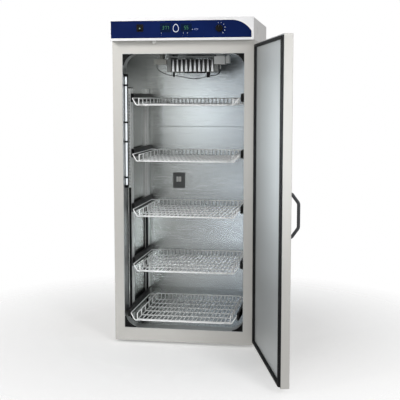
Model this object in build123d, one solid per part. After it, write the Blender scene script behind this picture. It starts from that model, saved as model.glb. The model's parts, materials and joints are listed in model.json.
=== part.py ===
from build123d import *
import math
import os

# Free-standing cabinet incubator. Everything is drawn from the lower front edge of the casing:
# X across from the middle, Y back from the casing's front plane, Z up from its bottom edge.
# save() moves each node so that the origin lies on the floor, under the middle of the casing.

# ---------------------------------------------------------------- driving dimensions, millimetres
CASING_W = 750.0
CASING_D = 650.0
BODY_H = 1604.0          # insulated body, up to the control housing
HOUSING_TOP = 1714.0
FOOT_H = 15.0
SKIN = 1.5               # painted sheet

OPENING_W = 647.0
FLOOR_Z = 69.0           # upper side of the chamber floor
CEILING_Z = 1538.0
CHAMBER_D = 590.0
LINER_T = 1.2
FRAME_T = 3.0            # folded front frame round the opening
MOUTH_T = 2.0
MOUTH_D = 86.0
MOUTH_R = 74.0           # inside corner of the mouth
LIP_Y = 24.0             # depth of the dark lip ahead of the rounded corners

FASCIA_FRONT = -56.5
FASCIA_T = 12.0
OVERLAY_T = 0.8
OVERLAY_X = (-367.0, 365.0)
OVERLAY_Z = (1613.0, 1701.0)
OVERLAY_ARC = (103.0, 57.0)    # width and drop of the rounded upper right corner

UPRIGHT_W = 57.0
UPRIGHT_D = 15.5
UPRIGHT_Y = (118.0, 527.0)     # front faces of the front and rear pairs
UPRIGHT_Z = (85.0, 1358.0)
TRIM_TOP = (820.0, 690.0)      # upper ends of the black strips on the two pairs
SLOT_PITCH = 18.0
SLOT_H = 9.0

SHELF_Z = (1270.0, 970.0, 671.0, 370.0, 115.0)
SHELF_FRONT = 60.0
BOTTOM_SHELF_OUT = 70.0        # the lowest shelf stands this far ahead of the others
SHELF_DEPTH = 520.0
MAT_HALF = 250.0
LONG_WIRES = 23
CROSS_WIRES = (0.0, 22.0, 118.0, 214.0, 310.0, 406.0, 502.0)
CROSS_R = 3.0                  # round side wires
CROSS_HALF = 2.6               # the welded mat is of square wire
LONG_HALF = 2.0
LONG_RISE = 4.0                # long wires lie on the cross wires
RIM_H = 33.0
BEARER_X = 287.5
BEARER_Z = 36.0
BEARER_Y = (22.0, 466.0)       # straight stretch that lies on the slide's ledge

SLIDE_Z = 38.0                 # slide centre above the shelf's cross wires
SLIDE_FRONT = 124.0            # front end of the members on the uprights
SLIDE_L = 450.0
SETBACK = 64.0                 # from a shelf's front wire back to its slides
LOW_SETBACK = 4.0              # the lowest shelf has longer slides that start at its front wire
LOW_SLIDE_L = 500.0

DOOR_X = (-375.0, 375.0)
DOOR_Z = (13.0, 1586.0)
DOOR_INNER = -14.0
DOOR_T = 40.0
DOOR_OPEN = 105.0
HINGE = (378.5, -9.0)
HINGE_Z = (190.0, 800.0, 1390.0)
PIN_R = 3.0
RUNNING = 0.05
KNUCKLE_R = 5.5
KNUCKLE_L = 30.0

HALF = CASING_W / 2
MOUTH = OPENING_W / 2
BACK = CASING_D


# ---------------------------------------------------------------- helpers
def block(x, y, z):
    """Box between two limits on each axis."""
    size = [b - a for a, b in (x, y, z)]
    return Pos(*[(a + b) / 2 for a, b in (x, y, z)]) * Box(*size)


def rod(start, end, radius):
    """Round bar from one point to another."""
    run = Vector(*end) - Vector(*start)
    return Part() + Solid.make_cylinder(radius, run.length, Plane(origin=start, z_dir=run))


def bent_wire(points, radius, bend):
    """Round wire along straight runs joined by tangent arcs."""
    path = FilletPolyline(*points, radius=bend)
    return sweep(Plane(origin=path @ 0, z_dir=path % 0) * Circle(radius), path=path)


def plate_y(outline, y0, y1):
    """Plate of a closed X-Z outline between two depths."""
    face = make_face(Polyline(*[(x, 0, z) for x, z in outline], close=True))
    return Pos(0, y0, 0) * extrude(face, amount=y1 - y0, dir=(0, 1, 0))


def bar_y(outline, y0, y1):
    """Straight profile along Y from its X-Z section."""
    return plate_y(outline, y0, y1)


def mirrored(part):
    return part.mirror(Plane.YZ)


def pair(part):
    """The piece and its mirror image on the other side."""
    return [part, mirrored(part)]


def join(parts):
    return Part() + parts


def swing(part):
    """Turn a door piece from closed to its open rest position."""
    return part.rotate(Axis((HINGE[0], HINGE[1], 0), (0, 0, 1)), DOOR_OPEN)


def save(node, parts):
    solids = [solid for part in parts for solid in part.solids()]
    moved = Pos(0, -CASING_D / 2, FOOT_H) * Compound(solids)
    export_step(moved, f"parts/{node}.step")


# ---------------------------------------------------------------- casing
FOOT_X = 310.0
FOOT_Y = (90.0, 570.0)
FOOT_R = 20.0
STUD_R = 5.0


def side_panels():
    return pair(block((HALF - SKIN, HALF), (FRAME_T, BACK - SKIN), (0, BODY_H)))


def casing_decks():
    """Base sheet with the two stud holes, and the deck under the control housing."""
    inner = (SKIN - HALF, HALF - SKIN)
    depth = (FRAME_T, BACK - SKIN)
    base = block(inner, depth, (0, SKIN))
    for x in (-FOOT_X, FOOT_X):
        base -= rod((x, FOOT_Y[0], -1), (x, FOOT_Y[0], 5), STUD_R + RUNNING)
    return [base, block(inner, depth, (BODY_H - SKIN, BODY_H))]


def rear_panel():
    return [block((-HALF, HALF), (BACK - SKIN, BACK), (0, BODY_H))]


def front_frame():
    """Two stiles and two rails round the rectangular opening."""
    depth = (0, FRAME_T)
    stiles = pair(block((MOUTH, HALF), depth, (0, BODY_H)))
    rails = [block((-MOUTH, MOUTH), depth, z) for z in ((0, FLOOR_Z), (CEILING_Z, BODY_H))]
    return stiles + rails


def inner_liner():
    """Five bright sheets: two walls, floor, ceiling and back."""
    depth = (FRAME_T, CHAMBER_D)
    height = (FLOOR_Z, CEILING_Z)
    outer = MOUTH + LINER_T
    walls = pair(block((MOUTH, outer), depth, height))
    floor = block((-outer, outer), depth, (FLOOR_Z - LINER_T, FLOOR_Z))
    ceiling = block((-outer, outer), depth, (CEILING_Z, CEILING_Z + LINER_T))
    ends = (FLOOR_Z - LINER_T, CEILING_Z + LINER_T)
    back = block((-outer, outer), (CHAMBER_D, CHAMBER_D + LINER_T), ends)
    return walls + [floor, ceiling, back]


def cabinet_foam():
    """Insulation slabs between the liner and the casing."""
    side = (MOUTH + LINER_T, HALF - SKIN)
    depth = (FRAME_T, BACK - SKIN)
    core = (-side[0], side[0])
    low = (SKIN, FLOOR_Z - LINER_T)
    high = (CEILING_Z + LINER_T, BODY_H - SKIN)
    base = block(core, depth, low)
    for x in (-FOOT_X, FOOT_X):
        base -= rod((x, FOOT_Y[0], 0), (x, FOOT_Y[0], 35), STUD_R + 3)
    back = block(core, (CHAMBER_D + LINER_T, depth[1]), (low[1], high[0]))
    return pair(block(side, depth, (SKIN, high[1]))) + [base, block(core, depth, high), back]


def mouth_corner(radius, depth):
    """Square corner block at the upper right of the mouth, hollowed by an arc."""
    x, z = MOUTH - MOUTH_T, CEILING_Z - MOUTH_T
    cx, cz = x - MOUTH_R, z - MOUTH_R
    corner = block((cx, x), depth, (cz, z))
    return corner - rod((cx, depth[0] - 1, cz), (cx, depth[1] + 1, cz), radius)


def four_corners(corner):
    """The upper right corner repeated at all four corners of the opening."""
    middle = Plane.XY.offset((FLOOR_Z + CEILING_Z) / 2)
    lower = corner.mirror(middle)
    return pair(corner) + pair(lower)


def mouth_ring():
    """Bright lining of the mouth: four strips and four rounded corners."""
    depth = (1.0, MOUTH_D)
    inner = MOUTH - MOUTH_T
    strips = pair(block((inner, MOUTH), depth, (FLOOR_Z, CEILING_Z)))
    for z in (FLOOR_Z, CEILING_Z - MOUTH_T):
        strips.append(block((-inner, inner), depth, (z, z + MOUTH_T)))
    return strips + four_corners(mouth_corner(MOUTH_R, (LIP_Y, MOUTH_D)))


def mouth_corner_plates():
    """Dark blocks that close the corners in front of the rounded lining."""
    return four_corners(mouth_corner(MOUTH_R + 1.5, (1.5, LIP_Y)))


def rivets():
    """Dome-headed rivets down both sides of the mouth."""
    face = MOUTH - MOUTH_T
    heads = []
    for row in range(10):
        z = 137 + 133.5 * row
        shank = rod((face, 14, z), (face - 0.8, 14, z), 3.5)
        heads += pair(shank + rod((face - 0.8, 14, z), (face - 1.6, 14, z), 2.4))
    return heads


def foot(x, y, levelling):
    """Rubber pad; a levelling foot also has its stud."""
    gap = 6.0 if levelling else 0.0
    pad = rod((x, y, -FOOT_H), (x, y, -FOOT_H + 4), FOOT_R)
    pad += rod((x, y, -FOOT_H + 4), (x, y, -gap), FOOT_R - 4)
    if levelling:
        pad += rod((x, y, -gap - 1), (x, y, 24), STUD_R)
        nut = extrude(Pos(x, y, -gap) * RegularPolygon(8.5, 6), amount=4)
        pad += nut
    return pad


# ---------------------------------------------------------------- control housing
SWITCH = (-212.5, 1664.5)
SWITCH_HALF = (17.5, 18.5)
ROCKER_PIVOT_Y = -50.0
ROCKER_TILT = 8.0
TRUNNION_X = 15.4
TRUNNION_R = 1.5
KNOB = (200.7, 1659.5)
KNOB_R = 18.0
DISPLAYS = ((-107.0, -50.0, 1641.0, 1688.0), (1.0, 58.0, 1644.0, 1684.0))
KEYS = {"key_set": (-100.0, 1629.0), "key_down": (15.0, 1629.0), "key_up": (36.0, 1629.0)}
KEY_R = 3.5
INLET = (250.0, 1660.0)


def overlay_outline():
    """Closed outline of the printed panel: square but for its swept upper right corner."""
    x0, x1 = OVERLAY_X
    z0, z1 = OVERLAY_Z
    run, drop = OVERLAY_ARC
    start = (x1 - run, 0, z1)
    sweep_arc = TangentArc(start, (x1, 0, z1 - drop), tangent=(1, 0, 0))
    rest = Polyline((x1, 0, z1 - drop), (x1, 0, z0), (x0, 0, z0), (x0, 0, z1), start)
    return make_face([sweep_arc, rest])


def panel_cutouts(y0, y1):
    """Everything that passes through the fascia: switch, displays, keys and thermostat."""
    sx, sz = SWITCH_HALF[0] - 1.5, SWITCH_HALF[1] - 1.5
    cuts = [block((SWITCH[0] - sx, SWITCH[0] + sx), (y0, y1), (SWITCH[1] - sz, SWITCH[1] + sz))]
    cuts += [block((x0, x1), (y0, y1), (z0, z1)) for x0, x1, z0, z1 in DISPLAYS]
    cuts += [rod((x, y0, z), (x, y1, z), KEY_R + 0.35) for x, z in KEYS.values()]
    cuts.append(rod((KNOB[0], y0, KNOB[1]), (KNOB[0], y1, KNOB[1]), 6.0))
    return cuts


def control_fascia():
    """Moulded bezel with a raised rim that follows the printed panel."""
    y0, y1 = FASCIA_FRONT, FASCIA_FRONT + FASCIA_T
    plate = block((-376, 376), (y0, y1), (1601, 1716))
    edges = plate.edges().filter_by(Axis.Y)
    plate = fillet(edges, 4.0)
    plate = fillet(plate.faces().sort_by(Axis.Y)[0].edges(), 1.2)
    face = overlay_outline()
    rim = offset(face, 4.0, kind=Kind.ARC) - face
    rim = Pos(0, y0 - 1.8, 0) * extrude(rim, amount=2.0, dir=(0, 1, 0))
    plate += rim
    for cut in panel_cutouts(y0 - 5, y1 + 1):
        plate -= cut
    return [plate]


def control_overlay():
    """Blue printed film on the fascia."""
    film = extrude(overlay_outline(), amount=OVERLAY_T, dir=(0, 1, 0))
    film = Pos(0, FASCIA_FRONT - OVERLAY_T, 0) * film
    for cut in panel_cutouts(FASCIA_FRONT - 2, FASCIA_FRONT):
        film -= cut
    return [film]


def display_windows():
    depth = (FASCIA_FRONT - OVERLAY_T - 0.2, FASCIA_FRONT + 8)
    return [block((x0, x1), depth, (z0, z1)) for x0, x1, z0, z1 in DISPLAYS]


def control_board():
    """Circuit board with its transformer, relays and terminal strip."""
    board = block((-150, 120), (-38.0, -36.4), (1612, 1698))
    board += block((-140, -100), (-36.4, -6), (1625, 1660))
    board += block((-60, -42), (-36.4, -20), (1630, 1645))
    board += block((-36, -18), (-36.4, -20), (1630, 1645))
    board += block((20, 110), (-36.4, -24), (1618, 1630))
    for x0, x1, z0, z1 in DISPLAYS:
        board += block((x0 + 4, x1 - 4), (-48.5, -38.0), (z0 + 4, z1 - 4))
    return [board]


def main_switch_body():
    """Square switch frame in the fascia with its box behind."""
    x, z = SWITCH
    hx, hz = SWITCH_HALF
    rim = block((x - hx, x + hx), (-59.8, -57.3), (z - hz, z + hz))
    rim = fillet(rim.edges().filter_by(Axis.Y), 2.0)
    box = block((x - hx + 1.5, x + hx - 1.5), (-57.3, -22), (z - hz + 1.5, z + hz - 1.5))
    well = block((x - 14, x + 14), (-61, -34), (z - 15.6, z + 15.6))
    terminals = [block((x + dx - 2.4, x + dx + 2.4), (-22, -13), (z - 0.4, z + 0.4))
                 for dx in (-8, 8)]
    reach = TRUNNION_X + 0.2
    bore = rod((x - reach, ROCKER_PIVOT_Y, z), (x + reach, ROCKER_PIVOT_Y, z), TRUNNION_R + RUNNING)
    return [join([rim, box]) - well - bore + terminals]


def rocker():
    """Rocker with two faces and a trunnion each side, resting pressed in at the top."""
    x, z = SWITCH
    section = Polyline((0, 0, -11), (0, -9, -13), (0, -11.5, 0), (0, -9, 13), (0, 0, 11), close=True)
    paddle = extrude(make_face(section), amount=13.4, dir=(1, 0, 0), both=True)
    paddle = paddle.rotate(Axis.X, -ROCKER_TILT)
    trunnions = rod((-TRUNNION_X, 0, 0), (TRUNNION_X, 0, 0), TRUNNION_R)
    return [Pos(x, ROCKER_PIVOT_Y, z) * join([paddle, trunnions])]


def thermostat_body():
    """Safety thermostat behind the fascia with its threaded bush."""
    x, z = KNOB
    case = block((x - 17, x + 17), (-42, -14), (z - 17, z + 17))
    bush = rod((x, -57.0, z), (x, -42, z), 5.9)
    bore = rod((x, -58, z), (x, -30, z), PIN_R + RUNNING)
    tags = [block((x + dx - 0.4, x + dx + 0.4), (-14, -4), (z - 3, z + 3)) for dx in (-8, 0, 8)]
    return [join([case, bush]) - bore + tags]


def thermostat_knob():
    """Round knob with a grip bar, on its shaft."""
    x, z = KNOB
    knob = rod((x, -72, z), (x, -58.2, z), KNOB_R)
    knob = fillet(knob.faces().sort_by(Axis.Y)[0].edges(), 1.5)
    grip = block((x - 3.5, x + 3.5), (-78, -71), (z - 16, z + 16))
    grip = fillet(grip.edges().filter_by(Axis.Y), 2.5)
    shaft = rod((x, -60, z), (x, -32, z), PIN_R)
    return [join([knob, grip, shaft])]


def key(x, z):
    """Round push key with its collar behind the fascia."""
    cap = rod((x, FASCIA_FRONT - 2.2, z), (x, -43.6, z), KEY_R)
    return cap + rod((x, -43.6, z), (x, -42.0, z), KEY_R + 1.5)


def top_housing():
    """Sheet cover of the electrics, open below over the deck and in front for the fascia."""
    y0 = FASCIA_FRONT + FASCIA_T
    cover = block((-HALF, HALF), (y0, BACK), (BODY_H, HOUSING_TOP))
    inner = (SKIN - HALF, HALF - SKIN)
    cover -= block(inner, (y0 - 1, BACK - SKIN), (BODY_H + SKIN, HOUSING_TOP - SKIN))
    cover -= block(inner, (FRAME_T, BACK - SKIN), (BODY_H - 1, BODY_H + 5))
    for row in range(6):
        y = 90 + 16 * row
        cover -= block((-HALF - 1, HALF + 1), (y, y + 5), (1640, 1676))
    x, z = INLET
    cover -= block((x - 13, x + 13), (BACK - 5, BACK + 1), (z - 9, z + 9))
    return [cover]


def mains_inlet():
    """Three-pin appliance inlet on the back of the housing: flange, four walls, floor and pins."""
    x, z = INLET
    y0, y1 = BACK, BACK + 16
    hx, hz, wall = 12.2, 8.2, 2.0
    floor = block((x - 25, x + 25), (y0, y0 + 2.5), (z - 14, z + 14))
    walls = [block((x - hx - wall, x + hx + wall), (y0 + 2.5, y1), (z + s, z + s + wall))
             for s in (-hz - wall, hz)]
    walls += [block((x + s, x + s + wall), (y0 + 2.5, y1), (z - hz, z + hz))
              for s in (-hx - wall, hx)]
    pins = [block((x + dx - 1, x + dx + 1), (y0 + 2.5, y1 - 5), (z + dz - 2, z + dz + 2))
            for dx, dz in ((-7, -3), (7, -3), (0, 3))]
    return [floor] + walls + pins


def door_sensor():
    """White door contact under the housing."""
    body = block((-155, -139), (-26, -2), (1588, BODY_H))
    return [fillet(body.edges().filter_by(Axis.Z), 2.5)]


# ---------------------------------------------------------------- chamber fittings
LAMP = (-313.0, 38.0)
LAMP_R = 5.5
LAMP_Z = (843.0, 1419.0)
CLIP_WRAP = 4.5                # wall of the clips and holders round the tube
CLIP_Z = (884.0, 1075.0, 1178.0, 1374.0)


def light_tube():
    """Glass tube with its metal end caps."""
    x, y = LAMP
    tube = rod((x, y, LAMP_Z[0] + 12), (x, y, LAMP_Z[1] - 12), LAMP_R)
    caps = [rod((x, y, z), (x, y, z + 12), LAMP_R - 0.4) for z in (LAMP_Z[0], LAMP_Z[1] - 12)]
    return [join([tube] + caps)]


def light_fitting():
    """Black batten on the wall beside the tube."""
    x = LAMP[0]
    return [block((MOUTH_T - MOUTH, x + 5), (49, 66), (LAMP_Z[0] - 10, LAMP_Z[1] + 10))]


def lamp_holders():
    """End holders and spring clips of the tube."""
    x, y = LAMP
    wall = MOUTH_T - MOUTH
    pieces = []
    for z0 in (LAMP_Z[0] - 14, LAMP_Z[1]):
        holder = rod((x, y, z0), (x, y, z0 + 14), LAMP_R + CLIP_WRAP)
        holder += block((wall, x), (y - 8, y + 8), (z0, z0 + 14))
        pieces.append(holder & block((wall, x + 20), (0, 90), (0, 2000)))
    for z in CLIP_Z:
        clip = rod((x, y, z - 4.5), (x, y, z + 4.5), LAMP_R + CLIP_WRAP)
        clip += block((wall, x), (y - 6, y + 6), (z - 4.5, z + 4.5))
        clip -= rod((x, y, z - 5), (x, y, z + 5), LAMP_R + 0.1)
        clip &= block((wall, x + 20), (0, 90), (0, 2000))
        pieces.append(clip)
    return pieces


def shelf_uprights():
    """Four channels on the side walls, with a row of slots inwards and another forwards."""
    x0, x1 = MOUTH - UPRIGHT_D, MOUTH
    z0, z1 = UPRIGHT_Z
    rows = int((z1 - z0 - 2 * SLOT_H) // SLOT_PITCH)
    across = (x0 + x1) / 2
    pieces = []
    for y in UPRIGHT_Y:
        channel = block((x0, x1), (y, y + UPRIGHT_W), (z0, z1))
        channel -= block((x0 + 1.5, x1 + 1), (y + 1.5, y + UPRIGHT_W - 1.5), (z0 - 1, z1 + 1))
        centre = y + UPRIGHT_W / 2
        for z in (z0 + SLOT_H + SLOT_PITCH * row for row in range(rows)):
            height = (z, z + SLOT_H)
            channel -= [block((x0 - 1, x0 + 3), (centre - 6, centre + 6), height),
                        block((across - 2.5, across + 2.5), (y - 1, y + 3), height)]
        pieces += pair(channel)
    return pieces


def upright_trims():
    """Black strips up the front of the uprights, and a cap on each front one."""
    x = (MOUTH - UPRIGHT_D, MOUTH - MOUTH_T)
    z0, z1 = UPRIGHT_Z
    strips = []
    for y, top in zip(UPRIGHT_Y, TRIM_TOP):
        strips += pair(block(x, (y - 1.5, y), (z0, top)))
    y = UPRIGHT_Y[0]
    return strips + pair(block(x, (y - 1.5, y + UPRIGHT_W), (z1, z1 + 6)))


def fixed_rail(z):
    """Outer member of a telescopic slide, open towards the shelf."""
    x0, x1, h = 297.0, MOUTH - UPRIGHT_D, 22.5
    section = [(x1, z - h), (x1, z + h), (x0, z + h), (x0, z + h - 1.5),
               (x1 - 1.5, z + h - 1.5), (x1 - 1.5, z - h + 1.5), (x0, z - h + 1.5), (x0, z - h)]
    return bar_y(section, SLIDE_FRONT, SLIDE_FRONT + SLIDE_L)


def sliding_rail(z, y0, length, ledge_end):
    """Inner member with its end cap and the ledge that carries the shelf's bearer wire."""
    x0, x1, h = 292.0, 302.0, 20.5
    ledge = z - SLIDE_Z + BEARER_Z - CROSS_R
    section = [(x0, z - h), (x1, z - h), (x1, z - h + 1.5), (x0 + 1.5, z - h + 1.5),
               (x0 + 1.5, z + h - 1.5), (x1, z + h - 1.5), (x1, z + h), (x0, z + h)]
    cap = block((x0 - 1, x1), (y0 - 3, y0), (z - 18, z + 18))
    tray = block((x0 - 8, x0), (y0 + 20, ledge_end), (ledge - 1.5, ledge))
    return bar_y(section, y0, y0 + length) + [cap, tray]


def flat_wire(x, y, z, half):
    """Square wire between two limits, one of them a pair and the other two single values."""
    limits = [v if isinstance(v, tuple) else (v - half, v + half) for v in (x, y, z)]
    return block(*limits)


def shelf_parts():
    """Wire shelf: flat mat, upturned back, and an upturned side with its bearer on each hand."""
    pitch = 2 * (MAT_HALF - 3) / (LONG_WIRES - 1)
    long_x = [-(MAT_HALF - 3) + pitch * i for i in range(LONG_WIRES)]
    across = (-MAT_HALF, MAT_HALF)
    turn = SHELF_DEPTH - LONG_HALF
    cross = [flat_wire(across, y, 0, CROSS_HALF) for y in CROSS_WIRES]
    along = [flat_wire(x, (-CROSS_HALF, turn), LONG_RISE, LONG_HALF) for x in long_x]
    risers = [flat_wire(x, SHELF_DEPTH, (LONG_RISE - LONG_HALF, RIM_H), LONG_HALF) for x in long_x]
    back_rail = flat_wire(across, SHELF_DEPTH, RIM_H, CROSS_HALF)

    edge = MAT_HALF + 4.5
    stub = bent_wire([(MAT_HALF, 0, 0), (edge, 0, 0), (edge, 0, RIM_H)], CROSS_R - 0.25, 4.0)
    stubs = [Pos(0, y, 0) * stub for y in CROSS_WIRES[1:]]
    rim = rod((edge, CROSS_WIRES[1], RIM_H), (edge, SHELF_DEPTH - CROSS_R - 0.3, RIM_H), CROSS_R)
    riser = bent_wire([(MAT_HALF, 0, 0), (MAT_HALF + 13, 0, 0), (BEARER_X, 10, BEARER_Z),
                       (BEARER_X, BEARER_Y[0], BEARER_Z)], CROSS_R, 6)
    bearer = rod((BEARER_X, BEARER_Y[0], BEARER_Z), (BEARER_X, BEARER_Y[1], BEARER_Z), CROSS_R)
    link = bent_wire([(BEARER_X, BEARER_Y[1], BEARER_Z), (BEARER_X, 478, BEARER_Z),
                      (edge, 492, RIM_H)], CROSS_R, 6)
    shelf = [join(cross + along), join(risers + [back_rail])]
    for piece in (join([rim] + stubs), riser, bearer, link - rim):
        shelf += pair(piece)
    return shelf


UNIT_X = (-123.0, 135.0)
UNIT_Y = (200.0, 420.0)
UNIT_Z = (1447.0, 1516.0)
RAIL_Z = (1524.0, 1531.0)      # light rail across the front, hung under the ceiling
FAN_X = (-100.0, 84.0)
FAN_YZ = (335.0, 1481.5)
FAN_R = 31.0


def duct_housing():
    """Air duct open at front and back, its front rail and its hangers under the ceiling."""
    x0, x1 = UNIT_X
    z0, z1 = UNIT_Z
    y0, y1 = UNIT_Y
    duct = block((x0, x1), (y0, y1), (z0, z1))
    duct -= block((x0 + 1.5, x1 - 1.5), (y0 - 1, y1 + 1), (z0 + 1.5, z1 - 1.5))
    for x in (x0, x1 - 22):
        duct += block((x, x + 22), (y0 + 36, y1 - 20), (z1, CEILING_Z))
    duct += block((x0 - 4, x1), (y0, y0 + 40), RAIL_Z)
    duct += block((x0, x0 + 22), (y0, y0 + 1.5), UNIT_Z)
    fy, fz = FAN_YZ
    duct -= rod((x0 - 1, fy, fz), (x0 + 3, fy, fz), PIN_R + RUNNING)
    duct += block((x1, x1 + 22), (y0 + 6, y0 + 80), (z0 + 2, 1486))
    return [duct]


def heater_fins():
    """Ten tapering fins on a back plate, one heated block."""
    x0, x1 = UNIT_X
    z0, z1 = UNIT_Z[0] + 2.0, UNIT_Z[1] - 2.0
    block_y = (262.0, 268.0)
    fins = [block((x0 + 2, x1 - 2), block_y, (z0, z1))]
    for i in range(10):
        x = -90 + 23.9 * i
        section = [(x - 6.5, z0), (x + 6.5, z0), (x + 2, z1), (x - 2, z1)]
        fins.append(plate_y(section, UNIT_Y[0] + 4, block_y[0]))
    return [join(fins)]


def fan_motor():
    """Motor at the right end of the duct with its shaft."""
    y, z = FAN_YZ
    x0, x1 = FAN_X[1] + 6, UNIT_X[1] - 1.5
    motor = rod((x0, y, z), (x1, y, z), 27.0)
    return [motor + rod((FAN_X[1] - 14, y, z), (x0, y, z), PIN_R)]


def fan_impeller():
    """Cross-flow impeller: two end discs, blades between them, stub shaft and hub."""
    y, z = FAN_YZ
    x0, x1 = FAN_X
    discs = [rod((x, y, z), (x + 3, y, z), FAN_R) for x in (x0, (x0 + x1) / 2, x1 - 3)]
    blades = []
    for i in range(18):
        blade = block((x0, x1), (-0.8, 0.8), (FAN_R - 11, FAN_R - 1))
        blade = blade.rotate(Axis((0, 0, FAN_R - 6), (1, 0, 0)), 28)
        blades.append(Pos(0, y, z) * blade.rotate(Axis.X, 20 * i))
    stub = rod((UNIT_X[0] - 2, y, z), (x0 + 1, y, z), PIN_R)
    hub = rod((x1 - 16, y, z), (x1, y, z), 9.0)
    bore = rod((x1 - 15, y, z), (x1 + 1, y, z), PIN_R + RUNNING)
    return [join(discs + blades + [stub, hub]) - bore]


def terminal_box():
    """Grey ribbed box at the left end of the duct."""
    z0, z1 = 1489.0, 1516.0
    box = block((-196, -127.5), (202, 290), (z0, z1))
    ribs = [block((x, x + 3), (200, 202), (z0 + 3, z1 - 3)) for x in range(-190, -132, 8)]
    foot = block((-172, -150), (235, 275), (z1, CEILING_Z))
    return [join([box, foot] + ribs)]


def supply_box():
    """White box at the right end of the duct, and a small connector beside it."""
    box = block((136, 193), (200, 290), (1488, 1530))
    box = fillet(box.edges().filter_by(Axis.Y), 3.0)
    box += block((145, 185), (220, 270), (1530, CEILING_Z))
    connector = block((196, 218), (214, 270), (1494, 1530))
    connector += block((201, 213), (230, 260), (1530, CEILING_Z))
    return [box, connector]


# The sensor lead leaves the terminal box downwards, passes two clips under the duct's front edge
# and sags between them, then turns up into the probe block at the duct's right end.
LEAD_R = 2.0
LEAD = [(-184, 226, 1489), (-184, 224, 1472), (-172, 216, 1455), (-146, 209, 1441),
        (-116, 207, 1431), (-86, 207, 1427), (-52, 207, 1424), (-12, 207, 1414), (32, 207, 1409),
        (74, 207, 1416), (104, 207, 1424), (126, 208, 1427), (148, 216, 1431), (165, 228, 1444),
        (165, 228, 1462)]
CLIPS = ((-86, 1427, 4.5), (104, 1424, 9.0))     # place and half width


def lead_radii():
    """Each bend's radius: 0.45 of its shorter run, over the tangent of half the turn."""
    points = [Vector(*p) for p in LEAD]
    radii = []
    for a, b, c in zip(points, points[1:], points[2:]):
        before, after = b - a, c - b
        half = math.radians(before.get_angle(after)) / 2
        radii.append(0.45 * min(before.length, after.length) / math.tan(half))
    return radii


def sensor_cable():
    path = FilletPolyline(*LEAD, radius=lead_radii())
    lead = sweep(Plane(origin=path @ 0, z_dir=path % 0) * Circle(LEAD_R), path=path)
    expected = path.length * math.pi * LEAD_R ** 2
    print("lead radii", [round(r) for r in lead_radii()], "length", round(path.length),
          "volume ratio", round(lead.volume / expected, 4))
    return [lead]


def cable_clips():
    """Two snap clips that hold the lead under the duct, and the black strip between them."""
    y = LEAD[5][1]
    top = UNIT_Z[0]
    clips = [block((-28, 88), (y - 3.5, y + 1.5), (top - 6, top))]
    for x, z, half in CLIPS:
        clip = block((x - half, x + half), (y - 5, y + 5), (z - 7, top))
        groove = block((x - half - 1, x + half + 1), (y - 2.6, y + 2.6), (z - 4.8, z + 4.8))
        clips.append(clip - groove)
    return clips


def temperature_probe():
    """Steel probe sleeve standing on the lead's end beside the duct."""
    x, y, z = LEAD[-1]
    sleeve = rod((x, y, z), (x, y, 1488), 3.5)
    return [sleeve + rod((x, y, z + 6), (x, y, z + 12), 5.0)]


def socket_plate():
    """Grey cover plate of the chamber's outlet on the back wall."""
    plate = block((-167, -95), (CHAMBER_D - 6, CHAMBER_D), (774, 866))
    plate = fillet(plate.edges().filter_by(Axis.Y), 4.0)
    return [plate - block((-149, -115), (CHAMBER_D - 7, CHAMBER_D - 3), (797, 844))]


def socket_insert():
    """Two white flaps side by side in the plate's recess."""
    flaps = [block((x, x + 12.5), (CHAMBER_D - 9, CHAMBER_D - 3), (811, 842)) for x in (-146, -130.5)]
    return [fillet(flap.edges().filter_by(Axis.Y), 3.0) for flap in flaps]


# ---------------------------------------------------------------- door, drawn closed
def door_skin():
    """Painted pan: outer sheet with its four returns."""
    y0, y1 = DOOR_INNER - DOOR_T, DOOR_INNER
    pan = block(DOOR_X, (y0, y1), DOOR_Z)
    pan = fillet(pan.faces().sort_by(Axis.Y)[0].edges(), 2.5)
    inner = [(a + SKIN, b - SKIN) for a, b in (DOOR_X, DOOR_Z)]
    return [pan - block(inner[0], (y0 + SKIN, y1 + 1), inner[1])]


def door_foam():
    inner = [(a + SKIN, b - SKIN) for a, b in (DOOR_X, DOOR_Z)]
    y0 = DOOR_INNER - DOOR_T + SKIN
    return [block(inner[0], (y0, DOOR_INNER - 2), inner[1])]


def door_liner():
    """Bright inner sheet of the door."""
    inner = [(a + SKIN, b - SKIN) for a, b in (DOOR_X, DOOR_Z)]
    return [block(inner[0], (DOOR_INNER - 2, DOOR_INNER), inner[1])]


def door_gasket():
    """Four mitred strips of a bellows seal."""
    inset, width = 6.0, 16.0
    y0, y1 = DOOR_INNER, -0.5
    (x0, x1), (z0, z1) = [(a + inset, b - inset) for a, b in (DOOR_X, DOOR_Z)]
    corners = [(x0, z0), (x1, z0), (x1, z1), (x0, z1)]
    inner = [(x0 + width, z0 + width), (x1 - width, z0 + width),
             (x1 - width, z1 - width), (x0 + width, z1 - width)]
    strips = []
    for i in range(4):
        j = (i + 1) % 4
        strips.append(plate_y([corners[i], corners[j], inner[j], inner[i]], y0, y1))
    return strips


HANDLE_X = -311.0
HANDLE_Z = (691.0, 885.0)
HANDLE_R = 7.5
HANDLE_OUT = 45.0


def door_handle():
    """Bow handle: round bar bent away from the door, with a rose at each end."""
    face = DOOR_INNER - DOOR_T
    low, high = HANDLE_Z
    grip = face - HANDLE_OUT
    route = [(HANDLE_X, face, low), (HANDLE_X, face - 14, low), (HANDLE_X, grip, low + 42),
             (HANDLE_X, grip, high - 42), (HANDLE_X, face - 14, high), (HANDLE_X, face, high)]
    bar = bent_wire(route, HANDLE_R, [10, 22, 22, 10])
    roses = [rod((HANDLE_X, face, z), (HANDLE_X, face - 5, z), 13.0) for z in HANDLE_Z]
    return [join([bar] + roses)]


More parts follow.
